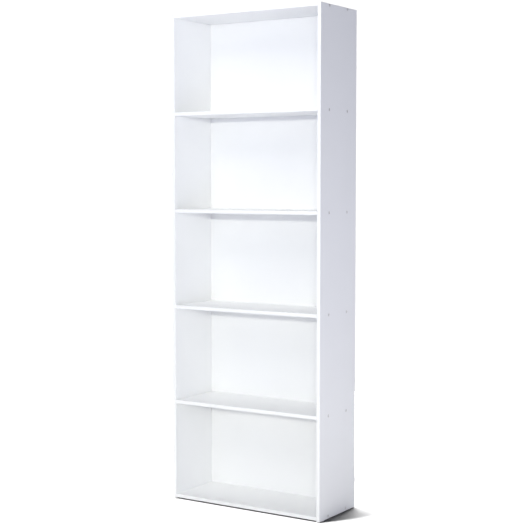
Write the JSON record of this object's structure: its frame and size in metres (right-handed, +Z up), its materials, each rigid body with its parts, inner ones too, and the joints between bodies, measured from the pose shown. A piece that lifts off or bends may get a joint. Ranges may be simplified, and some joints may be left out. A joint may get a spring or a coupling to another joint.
{
  "type": "bookcase",
  "caption": "Tall narrow open bookcase of white-faced board: sides, top, bottom and fixed shelves screwed together, hardboard back let into grooves.",
  "frame": {"origin": "on the floor, at the middle of the footprint", "axes": "+Z up, -Y out of the open front, +X to the right of someone facing the front"},
  "size_m": [0.6, 0.24, 1.7],
  "materials": {
    "white_laminate": "white melamine paper on particleboard, satin, very fine pebble, banded front edges",
    "white_hardboard": "thin hardboard, smooth white lacquer inside, bare brown fibre outside",
    "zinc": "bright zinc plate on steel screws",
    "glide_plastic": "moulded polyethylene on a steel nail"
  },
  "bodies": {
    "root": {"side_panel_left": "white_laminate", "side_panel_right": "white_laminate", "bottom_panel": "white_laminate", "shelf_1": "white_laminate", "shelf_2": "white_laminate", "shelf_3": "white_laminate", "shelf_4": "white_laminate", "top_panel": "white_laminate", "back_panel": "white_hardboard", "screw_left_bottom_front": "zinc", "screw_left_bottom_rear": "zinc", "screw_left_shelf_1_front": "zinc", "screw_left_shelf_1_rear": "zinc", "screw_left_shelf_2_front": "zinc", "screw_left_shelf_2_rear": "zinc", "screw_left_shelf_3_front": "zinc", "screw_left_shelf_3_rear": "zinc", "screw_left_shelf_4_front": "zinc", "screw_left_shelf_4_rear": "zinc", "screw_left_top_front": "zinc", "screw_left_top_rear": "zinc", "screw_right_bottom_front": "zinc", "screw_right_bottom_rear": "zinc", "screw_right_shelf_1_front": "zinc", "screw_right_shelf_1_rear": "zinc", "screw_right_shelf_2_front": "zinc", "screw_right_shelf_2_rear": "zinc", "screw_right_shelf_3_front": "zinc", "screw_right_shelf_3_rear": "zinc", "screw_right_shelf_4_front": "zinc", "screw_right_shelf_4_rear": "zinc", "screw_right_top_front": "zinc", "screw_right_top_rear": "zinc", "glide_left_front": "glide_plastic", "glide_left_rear": "glide_plastic", "glide_right_front": "glide_plastic", "glide_right_rear": "glide_plastic"}
  },
  "joints": []
}
